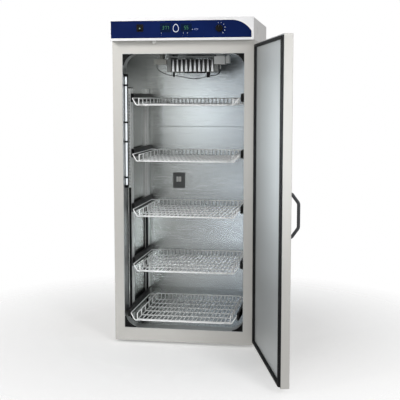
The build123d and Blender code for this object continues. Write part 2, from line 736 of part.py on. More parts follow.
def hinge_leaf(z, side):
    """Leaf of a lift-off hinge; side is -1 for the door's and +1 for the cabinet's."""
    hx, hy = HINGE
    plate = block((HALF, HALF + 2), (hy, 38) if side > 0 else (-50, hy), (z, z + KNUCKLE_L))
    return join([plate, rod((hx, hy, z), (hx, hy, z + KNUCKLE_L), KNUCKLE_R)])


def cabinet_hinges():
    """Lower leaves on the casing, each with its fixed pin."""
    hx, hy = HINGE
    leaves = []
    for z in HINGE_Z:
        pin = rod((hx, hy, z), (hx, hy, z + 2 * KNUCKLE_L - 4), PIN_R)
        leaves.append(join([hinge_leaf(z, 1), pin]))
    return leaves


def door_hinges():
    """Upper leaves on the door's edge, each with a blind bore for the pin."""
    hx, hy = HINGE
    leaves = []
    for z in HINGE_Z:
        start = z + KNUCKLE_L + 0.3
        bore = rod((hx, hy, start - 1), (hx, hy, z + 2 * KNUCKLE_L - 2), PIN_R + RUNNING)
        leaves.append(hinge_leaf(start, -1) - bore)
    return leaves


# ---------------------------------------------------------------- all nodes
def cabinet_nodes():
    return {
        "side_panels": side_panels(), "casing_decks": casing_decks(), "rear_panel": rear_panel(),
        "front_frame": front_frame(), "cabinet_foam": cabinet_foam(), "inner_liner": inner_liner(),
        "mouth_ring": mouth_ring(), "mouth_corner_plates": mouth_corner_plates(),
        "mouth_rivets": rivets(), "top_housing": top_housing(), "control_fascia": control_fascia(),
        "control_overlay": control_overlay(), "display_windows": display_windows(),
        "control_board": control_board(), "main_switch_body": main_switch_body(),
        "main_switch_rocker": rocker(), "thermostat_body": thermostat_body(),
        "thermostat_knob": thermostat_knob(), "mains_inlet": mains_inlet(),
        "door_sensor": door_sensor(), "light_tube": light_tube(), "light_fitting": light_fitting(),
        "lamp_holders": lamp_holders(), "shelf_uprights": shelf_uprights(),
        "upright_trims": upright_trims(), "duct_housing": duct_housing(),
        "heater_fins": heater_fins(), "fan_motor": fan_motor(), "fan_impeller": fan_impeller(),
        "terminal_box": terminal_box(), "supply_box": supply_box(), "sensor_cable": sensor_cable(),
        "cable_clips": cable_clips(), "temperature_probe": temperature_probe(),
        "socket_plate": socket_plate(), "socket_insert": socket_insert(),
        "cabinet_hinges": cabinet_hinges(),
        "rear_feet": [foot(x, FOOT_Y[1], False) for x in (-FOOT_X, FOOT_X)],
        "foot_front_left": [foot(-FOOT_X, FOOT_Y[0], True)],
        "foot_front_right": [foot(FOOT_X, FOOT_Y[0], True)],
    }


def shelf_nodes():
    nodes = {}
    rails = []
    master = shelf_parts()
    for number, z in enumerate(SHELF_Z, start=1):
        front, setback, length = SHELF_FRONT, SETBACK, SLIDE_L
        if number == len(SHELF_Z):
            front, setback, length = SHELF_FRONT - BOTTOM_SHELF_OUT, LOW_SETBACK, LOW_SLIDE_L
        slide = sliding_rail(z + SLIDE_Z, front + setback, length, front + BEARER_Y[1])
        nodes[f"wire_shelf_{number}"] = [Pos(0, front, z) * part for part in master]
        nodes[f"sliding_rails_{number}"] = pair(slide)
        rails += pair(fixed_rail(z + SLIDE_Z))
    nodes["fixed_rails"] = rails
    return nodes


def door_nodes():
    closed = {
        "door_skin": door_skin(), "door_foam": door_foam(), "door_liner": door_liner(),
        "door_gasket": door_gasket(), "door_handle": door_handle(), "door_hinges": door_hinges(),
    }
    return {node: [swing(part) for part in parts] for node, parts in closed.items()}


def key_nodes():
    return {node: [key(x, z)] for node, (x, z) in KEYS.items()}


def main():
    os.makedirs("parts", exist_ok=True)
    nodes = {**cabinet_nodes(), **shelf_nodes(), **door_nodes(), **key_nodes()}
    for node, parts in nodes.items():
        save(node, parts)
    print(len(nodes), "nodes")


main()
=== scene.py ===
import json
import math

import bmesh
import bpy
from mathutils import Matrix, Vector


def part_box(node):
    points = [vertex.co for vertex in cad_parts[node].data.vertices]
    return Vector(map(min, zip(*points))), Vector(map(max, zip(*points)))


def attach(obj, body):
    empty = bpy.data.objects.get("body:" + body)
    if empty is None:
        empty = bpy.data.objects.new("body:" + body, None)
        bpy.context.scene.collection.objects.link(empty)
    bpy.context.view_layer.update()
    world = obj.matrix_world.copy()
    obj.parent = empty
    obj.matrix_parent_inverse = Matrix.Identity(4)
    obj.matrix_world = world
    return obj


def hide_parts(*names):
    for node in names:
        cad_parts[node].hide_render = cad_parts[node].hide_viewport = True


# Upright egg incubator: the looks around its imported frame. Metres, +Z up, -Y out of the doorway.
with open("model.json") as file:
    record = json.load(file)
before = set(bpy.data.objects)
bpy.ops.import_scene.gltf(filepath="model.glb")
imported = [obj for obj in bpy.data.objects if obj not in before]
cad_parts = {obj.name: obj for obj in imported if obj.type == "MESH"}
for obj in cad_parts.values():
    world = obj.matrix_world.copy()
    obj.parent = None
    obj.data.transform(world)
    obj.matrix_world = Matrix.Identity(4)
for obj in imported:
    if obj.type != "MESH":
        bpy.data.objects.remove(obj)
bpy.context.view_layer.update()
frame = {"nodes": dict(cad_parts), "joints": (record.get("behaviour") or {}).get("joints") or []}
MM = 0.001


# ---------------------------------------------------------------- places read from the frame
def joint(name):
    return next(j for j in frame["joints"] if j["name"] == name)


HINGE = Vector(joint("door_swing")["pos_m"])
DOOR_OPEN = -math.radians(joint("door_swing")["range_deg"][0])
TO_OPEN_DOOR = (Matrix.Translation(HINGE) @ Matrix.Rotation(DOOR_OPEN, 4, "Z")
                @ Matrix.Translation(-HINGE))

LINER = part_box("inner_liner")
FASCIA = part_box("control_fascia")
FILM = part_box("control_overlay")
FILM_FACE = FILM[0].y
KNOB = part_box("thermostat_knob")
KNOB_CENTRE = (KNOB[0] + KNOB[1]) / 2


# ---------------------------------------------------------------- material helpers
class Paint:
    """A node material in the making: one shader, one coordinate source, and helpers that add nodes."""

    def __init__(self, name, colour, roughness, metallic=0.0):
        self.material = bpy.data.materials.new(name)
        self.material.use_nodes = True
        self.tree = self.material.node_tree
        self.shader = self.tree.nodes["Principled BSDF"]
        self.set("Base Color", (*colour, 1))
        self.set("Roughness", roughness)
        self.set("Metallic", metallic)
        self.colour = colour
        self.roughness = roughness
        self.coords = self.tree.nodes.new("ShaderNodeTexCoord").outputs["Object"]
        self.height = None

    def set(self, socket, value):
        self.shader.inputs[socket].default_value = value

    def node(self, kind, **settings):
        made = self.tree.nodes.new(kind)
        for name, value in settings.items():
            if name in made.inputs:
                made.inputs[name].default_value = value
            else:
                setattr(made, name, value)
        return made

    def link(self, source, target):
        self.tree.links.new(source, target)

    def stretched(self, scale):
        """Coordinates stretched per axis, for brushed or drawn surfaces."""
        mapping = self.node("ShaderNodeMapping")
        mapping.inputs["Scale"].default_value = scale
        self.link(self.coords, mapping.inputs["Vector"])
        return mapping.outputs["Vector"]

    def noise(self, scale, detail=4.0, rough=0.55, stretch=(1, 1, 1)):
        made = self.node("ShaderNodeTexNoise", Scale=scale, Detail=detail, Roughness=rough)
        self.link(self.stretched(stretch), made.inputs["Vector"])
        return made.outputs["Fac"]

    def ramp(self, source, stops):
        """Colour ramp over (position, colour) stops."""
        made = self.node("ShaderNodeValToRGB")
        elements = made.color_ramp.elements
        while len(elements) < len(stops):
            elements.new(0.5)
        for element, (position, colour) in zip(elements, stops):
            element.position = position
            element.color = (*colour, 1)
        self.link(source, made.inputs["Fac"])
        return made.outputs["Color"]

    def mapped(self, source, low, high, from_low=0.0, from_high=1.0):
        made = self.node("ShaderNodeMapRange")
        made.inputs["From Min"].default_value = from_low
        made.inputs["From Max"].default_value = from_high
        made.inputs["To Min"].default_value = low
        made.inputs["To Max"].default_value = high
        self.link(source, made.inputs["Value"])
        return made.outputs["Result"]

    def tint(self, source, amount):
        """Lets the source darken and lighten the base colour by up to the amount."""
        low = tuple(c * (1 - amount) for c in self.colour)
        high = tuple(min(1.0, c * (1 + amount * 0.6)) for c in self.colour)
        self.link(self.ramp(source, [(0.25, low), (0.75, high)]), self.shader.inputs["Base Color"])

    def gloss(self, source, spread):
        result = self.mapped(source, self.roughness - spread, self.roughness + spread, 0.25, 0.75)
        self.link(result, self.shader.inputs["Roughness"])

    def bump(self, source, distance, strength=1.0):
        """Adds a height to the surface; several heights chain."""
        made = self.node("ShaderNodeBump", Strength=strength, Distance=distance)
        self.link(source, made.inputs["Height"])
        if self.height is not None:
            self.link(self.height, made.inputs["Normal"])
        self.height = made.outputs["Normal"]
        self.link(self.height, self.shader.inputs["Normal"])

    def axis(self, name):
        """One coordinate of the surface, in metres."""
        made = self.node("ShaderNodeSeparateXYZ")
        self.link(self.coords, made.inputs["Vector"])
        return made.outputs[name]

    def edge_wear(self, colour, radius, share):
        """Mixes a colour in along sharp edges, where a rounded normal turns away from the face's."""
        bevel = self.node("ShaderNodeBevel", samples=4, Radius=radius)
        geometry = self.node("ShaderNodeNewGeometry")
        dot = self.node("ShaderNodeVectorMath", operation="DOT_PRODUCT")
        self.link(bevel.outputs["Normal"], dot.inputs[0])
        self.link(geometry.outputs["Normal"], dot.inputs[1])
        edge = self.mapped(dot.outputs["Value"], share, 0.0, 0.72, 0.96)
        mix = self.node("ShaderNodeMix", data_type="RGBA")
        self.link(edge, mix.inputs["Factor"])
        base = self.shader.inputs["Base Color"]
        if base.links:
            self.link(base.links[0].from_socket, mix.inputs["A"])
        else:
            mix.inputs["A"].default_value = (*self.colour, 1)
        mix.inputs["B"].default_value = (*colour, 1)
        self.link(mix.outputs["Result"], base)


def powder_coat(name, colour, roughness=0.42, specular=0.5):
    """Sprayed and baked coat: fine orange peel, faint clouding, slightly rubbed edges."""
    paint = Paint(name, colour, roughness)
    paint.set("Specular IOR Level", specular)
    paint.tint(paint.noise(2.2, 3), 0.035)
    paint.gloss(paint.noise(38, 4), 0.05)
    paint.edge_wear(tuple(c * 0.86 for c in colour), 1.2 * MM, 0.35)
    paint.bump(paint.noise(900, 2), 0.06 * MM)
    return paint.material


def brushed_sheet(name, colour, roughness, along, clouds=0.05, groove=0.03, metallic=1.0):
    """Brushed sheet metal: long fine scratches along one axis over soft clouding."""
    stretch = {"X": (1, 90, 90), "Y": (90, 1, 90), "Z": (90, 90, 1)}[along]
    paint = Paint(name, colour, roughness, metallic)
    scratches = paint.noise(9, 6, 0.7, stretch)
    paint.tint(scratches, clouds + 0.05)
    paint.gloss(scratches, 0.06)
    paint.bump(scratches, groove * MM, 0.6)
    paint.bump(paint.noise(1.7, 2), 1.5 * MM, 0.12)
    return paint


def bare_metal(name, colour, roughness):
    """Plated or cast metal with fine grain and lighter edges."""
    paint = Paint(name, colour, roughness, 1.0)
    paint.tint(paint.noise(60, 5), 0.12)
    paint.gloss(paint.noise(220, 3), 0.07)
    paint.edge_wear(tuple(min(1, c * 1.25) for c in colour), 0.8 * MM, 0.5)
    paint.bump(paint.noise(700, 3), 0.04 * MM)
    return paint.material


def plastic(name, colour, roughness, grain=650, specular=0.5):
    """Moulded plastic: spark-eroded grain, faint flow marks, lighter rubbed edges."""
    paint = Paint(name, colour, roughness)
    paint.set("Specular IOR Level", specular)
    paint.tint(paint.noise(14, 3), 0.06)
    paint.gloss(paint.noise(90, 3), 0.06)
    paint.edge_wear(tuple(min(1, c * 1.3 + 0.02) for c in colour), 0.7 * MM, 0.4)
    paint.bump(paint.noise(grain, 2), 0.05 * MM)
    return paint.material


def rubber(name, colour):
    """Black rubber: matt, dusty in patches."""
    paint = Paint(name, colour, 0.62)
    paint.set("Specular IOR Level", 0.25)
    paint.tint(paint.noise(26, 5), 0.35)
    paint.gloss(paint.noise(60, 3), 0.1)
    paint.bump(paint.noise(420, 3), 0.08 * MM)
    return paint.material


def lamp_and_painted_glow(name, colour, strength):
    """Mark that gives its own light: a lamp in the lit display and switch lens, and a painted glow on
    the printed marks.
    """
    paint = Paint(name, colour, 0.4)
    paint.set("Emission Color", (*colour, 1))
    paint.set("Emission Strength", strength)
    paint.tint(paint.noise(400, 3), 0.12)
    paint.bump(paint.noise(800, 2), 0.02 * MM)
    return paint.material


# ---------------------------------------------------------------- the materials
SHEET_JOINT = 1.154      # height of the butt joint across the liner's sheets


def panel_film():
    """Navy printed film with a fine satin grain."""
    paint = Paint("panel_film", (0.003, 0.011, 0.068), 0.22)
    paint.set("Specular IOR Level", 0.06)
    paint.tint(paint.noise(7, 4), 0.22)
    paint.gloss(paint.noise(160, 3), 0.05)
    paint.bump(paint.noise(1100, 2), 0.02 * MM)
    return paint.material


def fin_metal():
    """Cast fins with painted shade: bright at their lower front edges, painted darker towards the
    duct's roof and back plate.
    """
    low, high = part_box("heater_fins")
    paint = Paint("fin_aluminium", (0.86, 0.87, 0.88), 0.34, 0.6)
    middle = (low.z + high.z) / 2
    # painted shade: the colour darkens with height and with depth into the duct
    rise = paint.mapped(paint.axis("Z"), 1.0, 0.34, middle - 6 * MM, high.z)
    depth = paint.mapped(paint.axis("Y"), 1.0, 0.34, low.y + 2 * MM, high.y - 8 * MM)
    shade = paint.node("ShaderNodeMath", operation="MULTIPLY")
    paint.link(rise, shade.inputs[0])
    paint.link(depth, shade.inputs[1])
    grain = paint.mapped(paint.noise(90, 4), 0.82, 1.0, 0.3, 0.7)
    grained = paint.node("ShaderNodeMath", operation="MULTIPLY")
    paint.link(shade.outputs["Value"], grained.inputs[0])
    paint.link(grain, grained.inputs[1])
    colours = paint.ramp(grained.outputs["Value"], [(0.0, (0.05, 0.05, 0.05)), (1.0, paint.colour)])
    paint.link(colours, paint.shader.inputs["Base Color"])
    paint.gloss(paint.noise(160, 3), 0.08)
    paint.bump(paint.noise(600, 3), 0.05 * MM)
    return paint.material


def chamber_sheet():
    """Brushed liner with a level grain, a painted reflection that turns it lighter and bluer towards
    the right, and a joint across it.
    """
    paint = brushed_sheet("chamber_sheet", (0.56, 0.572, 0.572), 0.25, "X", 0.05, 0.07)
    across = paint.mapped(paint.axis("X"), 0.0, 1.0, -0.2, 0.25)
    mix = paint.node("ShaderNodeMix", data_type="RGBA", blend_type="MULTIPLY")
    mix.inputs["Factor"].default_value = 1.0
    base = paint.shader.inputs["Base Color"]
    # painted reflection: the tint turns the sheet lighter and bluer towards the right
    reflection_tint = paint.ramp(across, [(0.0, (0.93, 0.94, 0.92)), (1.0, (0.93, 0.99, 1.05))])
    paint.link(base.links[0].from_socket, mix.inputs["A"])
    paint.link(reflection_tint, mix.inputs["B"])
    paint.link(mix.outputs["Result"], base)
    seam = paint.node("ShaderNodeMath", operation="SUBTRACT")
    paint.link(paint.axis("Z"), seam.inputs[0])
    seam.inputs[1].default_value = SHEET_JOINT
    away = paint.node("ShaderNodeMath", operation="ABSOLUTE")
    paint.link(seam.outputs["Value"], away.inputs[0])
    paint.bump(paint.mapped(away.outputs["Value"], 0.0, 1.0, 0.0, 1.2 * MM), 0.8 * MM)
    return paint.material


def lamp_glass():
    """Opal tube, lit softly."""
    paint = Paint("lamp_glass", (0.9, 0.93, 0.95), 0.18)
    paint.set("Emission Color", (0.9, 0.96, 1.0, 1))
    paint.set("Emission Strength", 0.35)
    paint.tint(paint.noise(25, 3, 0.5, (1, 1, 0.2)), 0.05)
    paint.bump(paint.noise(300, 2), 0.02 * MM)
    return paint.material


def foam():
    """Cut polyurethane foam: open cells over creamy blotches."""
    paint = Paint("foam", (0.78, 0.69, 0.42), 0.85)
    cells = paint.node("ShaderNodeTexVoronoi", Scale=700.0)
    paint.link(paint.coords, cells.inputs["Vector"])
    paint.tint(paint.noise(18, 5), 0.15)
    paint.bump(cells.outputs["Distance"], 0.4 * MM)
    return paint.material


def circuit_board():
    """Green resist with a fine grid of tracks showing through."""
    paint = Paint("circuit_board", (0.015, 0.12, 0.05), 0.35)
    tracks = paint.node("ShaderNodeTexVoronoi", Scale=180.0, distance="MANHATTAN")
    paint.link(paint.coords, tracks.inputs["Vector"])
    paint.tint(tracks.outputs["Distance"], 0.5)
    paint.bump(tracks.outputs["Distance"], 0.1 * MM)
    return paint.material


MATERIALS = {
    "casing": powder_coat("casing_paint", (0.52, 0.51, 0.485)),
    "housing": powder_coat("housing_paint", (0.70, 0.69, 0.68), 0.38),
    "bezel": plastic("bezel_plastic", (0.74, 0.74, 0.75), 0.36, 900),
    "film": panel_film(),
    "display": plastic("display_window", (0.002, 0.009, 0.034), 0.25, 1200, 0.06),
    "black": plastic("black_plastic", (0.004, 0.004, 0.0045), 0.5, 650, 0.1),
    "white": plastic("white_plastic", (0.74, 0.74, 0.72), 0.38),
    "grey": plastic("grey_plastic", (0.36, 0.36, 0.33), 0.5),
    "plate": plastic("plate_plastic", (0.12, 0.125, 0.125), 0.5),
    "board": circuit_board(),
    "chamber": chamber_sheet(),
    "mouth": brushed_sheet("mouth_sheet", (0.50, 0.51, 0.51), 0.4, "Z").material,
    "door_sheet": brushed_sheet("door_sheet", (0.50, 0.52, 0.525), 0.45, "Z", clouds=0.04,
                                metallic=0.6).material,
    "bright": bare_metal("zinc_plate", (0.62, 0.62, 0.60), 0.35),
    "fins": fin_metal(),
    "fan_metal": bare_metal("fan_aluminium", (0.80, 0.81, 0.82), 0.32),
    "duct": brushed_sheet("duct_sheet", (0.20, 0.205, 0.20), 0.45, "X").material,
    "upright": brushed_sheet("upright_sheet", (0.84, 0.85, 0.84), 0.38, "Z", metallic=0.45).material,
    "lamp": lamp_glass(),
    "foam": foam(),
    "seal": rubber("seal_rubber", (0.006, 0.006, 0.007)),
    "rubber": rubber("foot_rubber", (0.012, 0.012, 0.012)),
    "cable": rubber("cable_sheath", (0.006, 0.006, 0.007)),
    "wire": powder_coat("coated_wire", (0.95, 0.955, 0.955), 0.4),
    "slide": powder_coat("slide_coat", (0.006, 0.006, 0.006), 0.42, 0.2),
    "handle": powder_coat("handle_coat", (0.05, 0.052, 0.058), 0.35, 0.4),
    "digits": lamp_and_painted_glow("display_green", (0.015, 0.14, 0.045), 0.2),
    # painted glow: the printed white marks and the lilac print give off light though they hold no lamp
    "marks": lamp_and_painted_glow("panel_white", (0.62, 0.66, 0.75), 0.1),
    "print": lamp_and_painted_glow("panel_lilac", (0.30, 0.36, 0.62), 0.05),
    "glint": lamp_and_painted_glow("rocker_lamp", (0.20, 0.30, 0.22), 0.15),
}

CAD_MATERIALS = {
    "casing": ["side_panels", "rear_panel", "front_frame", "door_skin"],
    "housing": ["top_housing"],
    "bezel": ["control_fascia"],
    "film": ["control_overlay", "key_set", "key_down", "key_up"],
    "display": ["display_windows"],
    "black": ["main_switch_body", "main_switch_rocker", "thermostat_knob", "mains_inlet",
              "lamp_holders", "light_fitting", "upright_trims", "cable_clips", "mouth_corner_plates"],
    "white": ["door_sensor", "supply_box", "socket_insert"],
    "grey": ["terminal_box", "thermostat_body"],
    "plate": ["socket_plate"],
    "board": ["control_board"],
    "chamber": ["inner_liner"],
    "mouth": ["mouth_ring"],
    "door_sheet": ["door_liner"],
    "bright": ["casing_decks", "fan_motor", "temperature_probe", "cabinet_hinges", "door_hinges"],
    "fins": ["heater_fins"],
    "fan_metal": ["fan_impeller"],
    "duct": ["duct_housing"],
    "upright": ["shelf_uprights"],
    "lamp": ["light_tube"],
    "foam": ["cabinet_foam", "door_foam"],
    "rubber": ["rear_feet", "foot_front_left", "foot_front_right"],
    "cable": ["sensor_cable"],
    "slide": ["fixed_rails"] + [f"sliding_rails_{n}" for n in range(1, 6)],
    "handle": ["door_handle"],
}


def finish_cad_nodes():
    for key, nodes in CAD_MATERIALS.items():
        for node in nodes:
            slots = frame["nodes"][node].data.materials
            slots.clear()
            slots.append(MATERIALS[key])


# ---------------------------------------------------------------- piece helpers
def piece(name, mesh, key, body, smooth=True):
    """A finished piece from a mesh: material and body."""
    made = bpy.data.objects.new(name, mesh)
    bpy.context.scene.collection.objects.link(made)
    mesh.materials.append(MATERIALS[key])
    for polygon in mesh.polygons:
        polygon.use_smooth = smooth
    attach(made, body)
    return made


def from_bmesh(name, work):
    bmesh.ops.recalc_face_normals(work, faces=work.faces)
    mesh = bpy.data.meshes.new(name)
    work.to_mesh(mesh)
    work.free()
    return mesh


def lathe(work, centre, direction, profile, steps=24):
    """Turned shape: (along, radius) profile about a direction from a centre."""
    turn = Vector(direction).to_track_quat("Z", "Y").to_matrix().to_4x4()
    place = Matrix.Translation(centre) @ turn
    rings = []
    for along, radius in profile:
        if radius < 1e-7:
            rings.append([work.verts.new(place @ Vector((0, 0, along)))])
            continue
        ring = []
        for i in range(steps):
            angle = 2 * math.pi * i / steps
            point = Vector((radius * math.cos(angle), radius * math.sin(angle), along))
            ring.append(work.verts.new(place @ point))
        rings.append(ring)
    for low, high in zip(rings, rings[1:]):
        for i in range(steps):
            j = (i + 1) % steps
            corners = [low[i % len(low)], low[j % len(low)], high[j % len(high)], high[i % len(high)]]
            work.faces.new(list(dict.fromkeys(corners)))


def flat_shape(work, outline, y0, y1):
    """Thin plate of an X-Z outline between two depths."""
    front = [work.verts.new((x, y0, z)) for x, z in outline]
    back = [work.verts.new((x, y1, z)) for x, z in outline]
    work.faces.new(front)
    work.faces.new(list(reversed(back)))
    for i in range(len(outline)):
        j = (i + 1) % len(outline)
        work.faces.new([front[i], back[i], back[j], front[j]])


def disc_outline(x, z, radius, stretch=1.0, steps=20):
    turns = [2 * math.pi * i / steps for i in range(steps)]
    return [(x + radius * math.cos(t), z + radius * stretch * math.sin(t)) for t in turns]


# ---------------------------------------------------------------- wire shelves
MAT_HALF = 250 * MM
LONG_WIRES = 23
CROSS_WIRES = [y * MM for y in (0, 22, 118, 214, 310, 406, 502)]
DEPTH = 520 * MM
RIM = 33 * MM
CROSS_R = 3.0 * MM
LONG_R = 2.3 * MM
RISE = 4.0 * MM
BEARER = (287.5 * MM, 36 * MM)


def rounded(points, radius, steps=5):
    """The points of a polyline with each inner corner turned into an arc."""
    points = [Vector(p) for p in points]
    out = [points[0]]
    for a, b, c in zip(points, points[1:], points[2:]):
        into, away = (a - b).normalized(), (c - b).normalized()
        half = into.angle(away) / 2
        reach = min(radius / math.tan(half), 0.45 * (a - b).length, 0.45 * (c - b).length)
        start, end = b + into * reach, b + away * reach
        for i in range(steps + 1):
            t = i / steps
            out.append(start * (1 - t) ** 2 + b * 2 * t * (1 - t) + end * t * t)
    return out + [points[-1]]


def add_wire(curve, points, radius):
    spline = curve.splines.new("POLY")
    spline.points.add(len(points) - 1)
    for target, point in zip(spline.points, points):
        target.co = (*point, 1)
        target.radius = radius / CROSS_R


def shelf_wires():
    """All the wires of one shelf about the middle of its front wire."""
    curve = bpy.data.curves.new("shelf_wires", "CURVE")
    curve.dimensions = "3D"
    curve.bevel_depth = CROSS_R
    curve.bevel_resolution = 2
    curve.use_fill_caps = True
    pitch = 2 * (MAT_HALF - 3 * MM) / (LONG_WIRES - 1)
    edge = MAT_HALF + 4.5 * MM
    for i in range(LONG_WIRES):
        x = -(MAT_HALF - 3 * MM) + pitch * i
        route = [(x, -CROSS_R, RISE), (x, DEPTH, RISE), (x, DEPTH, RIM)]
        add_wire(curve, rounded(route, 5 * MM), LONG_R)
    for y in CROSS_WIRES:
        if y == 0:
            add_wire(curve, [Vector((-MAT_HALF, 0, 0)), Vector((MAT_HALF, 0, 0))], CROSS_R)
            continue
        route = [(-edge, y, RIM), (-edge, y, 0), (edge, y, 0), (edge, y, RIM)]
        add_wire(curve, rounded(route, 5 * MM), CROSS_R - 0.25 * MM)
    rim = [(-edge, CROSS_WIRES[1], RIM), (-edge, DEPTH, RIM), (edge, DEPTH, RIM),
           (edge, CROSS_WIRES[1], RIM)]
    add_wire(curve, rounded(rim, 9 * MM), CROSS_R)
    for side in (-1, 1):
        x, z = BEARER
        bearer = [(side * MAT_HALF * 0.9, 0, 0), (side * (MAT_HALF + 13 * MM), 0, 0),
                  (side * x, 10 * MM, z), (side * x, 478 * MM, z), (side * edge, 492 * MM, RIM)]
        add_wire(curve, rounded(bearer, 9 * MM), CROSS_R)
    return curve


def build_shelves():
    wires = shelf_wires()
    mesh = bpy.data.meshes.new_from_object(bpy.data.objects.new("wires_form", wires))
    for n in range(1, 6):
        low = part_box(f"wire_shelf_{n}")[0]
        own = mesh.copy()
        own.transform(Matrix.Translation((0, low.y + CROSS_R, low.z + CROSS_R)))
        made = piece(f"shelf_{n}_wires", own, "wire", f"shelf_{n}")
        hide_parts(f"wire_shelf_{n}")


# ---------------------------------------------------------------- door seal
SEAL_STEPS = [(0.0, 0.0), (0.0, 2.0), (1.2, 4.0), (0.6, 6.0), (2.2, 8.0), (1.4, 10.0), (2.6, 12.2),
              (4.2, 13.4), (11.8, 13.4), (13.4, 12.2), (14.6, 10.0), (13.8, 8.0), (15.4, 6.0),
              (14.8, 4.0), (16.0, 2.0), (16.0, 0.0)]


def build_seal():
    """Bellows seal round the door: a folded section mitred at the corners."""
    liner = frame["nodes"]["door_liner"]
    closed = [TO_OPEN_DOOR.inverted() @ v.co for v in liner.data.vertices]
    sheet_y = max(p.y for p in closed)
    inset = 4.5 * MM
    x0, x1 = min(p.x for p in closed) + inset, max(p.x for p in closed) - inset
    z0, z1 = min(p.z for p in closed) + inset, max(p.z for p in closed) - inset
    work = bmesh.new()
    rings = []
    for cx, cz, ux, uz in ((x0, z0, 1, 1), (x1, z0, -1, 1), (x1, z1, -1, -1), (x0, z1, 1, -1)):
        ring = []
        for inward, out in SEAL_STEPS:
            point = Vector((cx + ux * inward * MM, sheet_y + out * MM, cz + uz * inward * MM))
            ring.append(work.verts.new(TO_OPEN_DOOR @ point))
        rings.append(ring)
    count = len(SEAL_STEPS)
    for i in range(4):
        a, b = rings[i], rings[(i + 1) % 4]
        for k in range(count):
            m = (k + 1) % count
            work.faces.new([a[k], a[m], b[m], b[k]])
    made = piece("door_seal", from_bmesh("door_seal", work), "seal", "door", False)
    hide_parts("door_gasket")


# ---------------------------------------------------------------- rivets and screws
def build_rivets():
    """Dome heads down both sides of the mouth."""
    low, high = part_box("mouth_rivets")
    work = bmesh.new()
    dome = [(0.0, 3.5 * MM), (0.5 * MM, 3.5 * MM), (1.0 * MM, 3.0 * MM), (1.4 * MM, 2.1 * MM),
            (1.55 * MM, 1.1 * MM), (1.6 * MM, 0.0)]
    pitch = (high.z - low.z - 7 * MM) / 9
    y = (low.y + high.y) / 2
    for row in range(10):
        z = low.z + 3.5 * MM + pitch * row
        for x, side in ((low.x, 1), (high.x, -1)):
            lathe(work, Vector((x, y, z)), (side, 0, 0), dome, 16)
    made = piece("rivet_heads", from_bmesh("rivet_heads", work), "bright", "cabinet")
    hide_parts("mouth_rivets")


def screw_head(work, centre, direction, radius):
    """Low oval head with a recess sunk into its crown."""
    head = [(0.0, radius), (0.12 * radius, radius), (0.24 * radius, 0.8 * radius),
            (0.28 * radius, 0.42 * radius), (0.16 * radius, 0.3 * radius), (0.12 * radius, 0.0)]
    lathe(work, centre, direction, head, 12)


def build_screws():
    """Cover screws: along the housing's sides and round the rear panel."""
    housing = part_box("top_housing")
    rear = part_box("rear_panel")
    work = bmesh.new()
    r = 3.4 * MM
    for y in (housing[0].y + 60 * MM, (housing[0].y + housing[1].y) / 2, housing[1].y - 60 * MM):
        for x, side in ((housing[0].x + 0.02 * MM, -1), (housing[1].x - 0.02 * MM, 1)):
            screw_head(work, Vector((x, y, housing[0].z + 14 * MM)), (side, 0, 0), r)
    for z in [rear[0].z + 40 * MM + (rear[1].z - rear[0].z - 80 * MM) * i / 5 for i in range(6)]:
        for x in (rear[0].x + 14 * MM, rear[1].x - 14 * MM):
            screw_head(work, Vector((x, rear[1].y - 0.02 * MM, z)), (0, 1, 0), r)
    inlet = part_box("mains_inlet")
    middle = (inlet[0] + inlet[1]) / 2
    for x in (inlet[0].x + 4.5 * MM, inlet[1].x - 4.5 * MM):
        screw_head(work, Vector((x, inlet[0].y + 2.5 * MM, middle.z)), (0, 1, 0), 2.4 * MM)
    piece("cover_screws", from_bmesh("cover_screws", work), "bright", "cabinet")


# ---------------------------------------------------------------- panel prints
PRINT_T = 0.25 * MM
SEGMENTS = {"3": "abgcd", "5": "afgcd", "7": "abc"}
SEGMENT_ENDS = {"a": ((0, 2), (1, 2)), "b": ((1, 2), (1, 1)), "c": ((1, 1), (1, 0)),
                "d": ((0, 0), (1, 0)), "f": ((0, 2), (0, 1)), "g": ((0, 1), (1, 1))}
FIGURE_HEIGHT = 16 * MM
WINDOW_HALF = 28.5 * MM


def bar_between(work, a, b, half, y0, y1):
    """Pointed segment between two X-Z points."""
    a, b = Vector(a), Vector(b)
    run = (b - a).normalized()
    side = Vector((-run.y, run.x)) * half
    tip = run * half
    corners = [a + tip * 0.3, a + tip * 1.2 + side, b - tip * 1.2 + side, b - tip * 0.3,
               b - tip * 1.2 - side, a + tip * 1.2 - side]
    flat_shape(work, [(p.x, p.y) for p in corners], y0, y1)


def digits(work, text, centre, height, face):
    """Seven-segment figures leaning a little to the right."""
    unit = height / 2
    step = unit * 1.55
    x = centre[0] - step * (len(text) - 1) / 2 - unit / 2
    for figure in text:
        for letter in SEGMENTS[figure]:
            ends = []
            for u, v in SEGMENT_ENDS[letter]:
                ends.append((x + unit * (u * 0.9 + v * 0.09), centre[1] + unit * (v - 1)))
            bar_between(work, *ends, unit * 0.13, face - PRINT_T, face + 0.1 * MM)
        x += step


def build_displays():
    """Figures on the two display windows."""
    low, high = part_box("display_windows")
    face = low.y
    work = bmesh.new()
    middle_z = (low.z + high.z) / 2
    digits(work, "377", (low.x + WINDOW_HALF, middle_z), FIGURE_HEIGHT, face)
    digits(work, "55", (high.x - WINDOW_HALF, middle_z), FIGURE_HEIGHT, face)
    mesh = from_bmesh("display_digits", work)
    piece("display_digits", mesh, "digits", "cabinet", False)


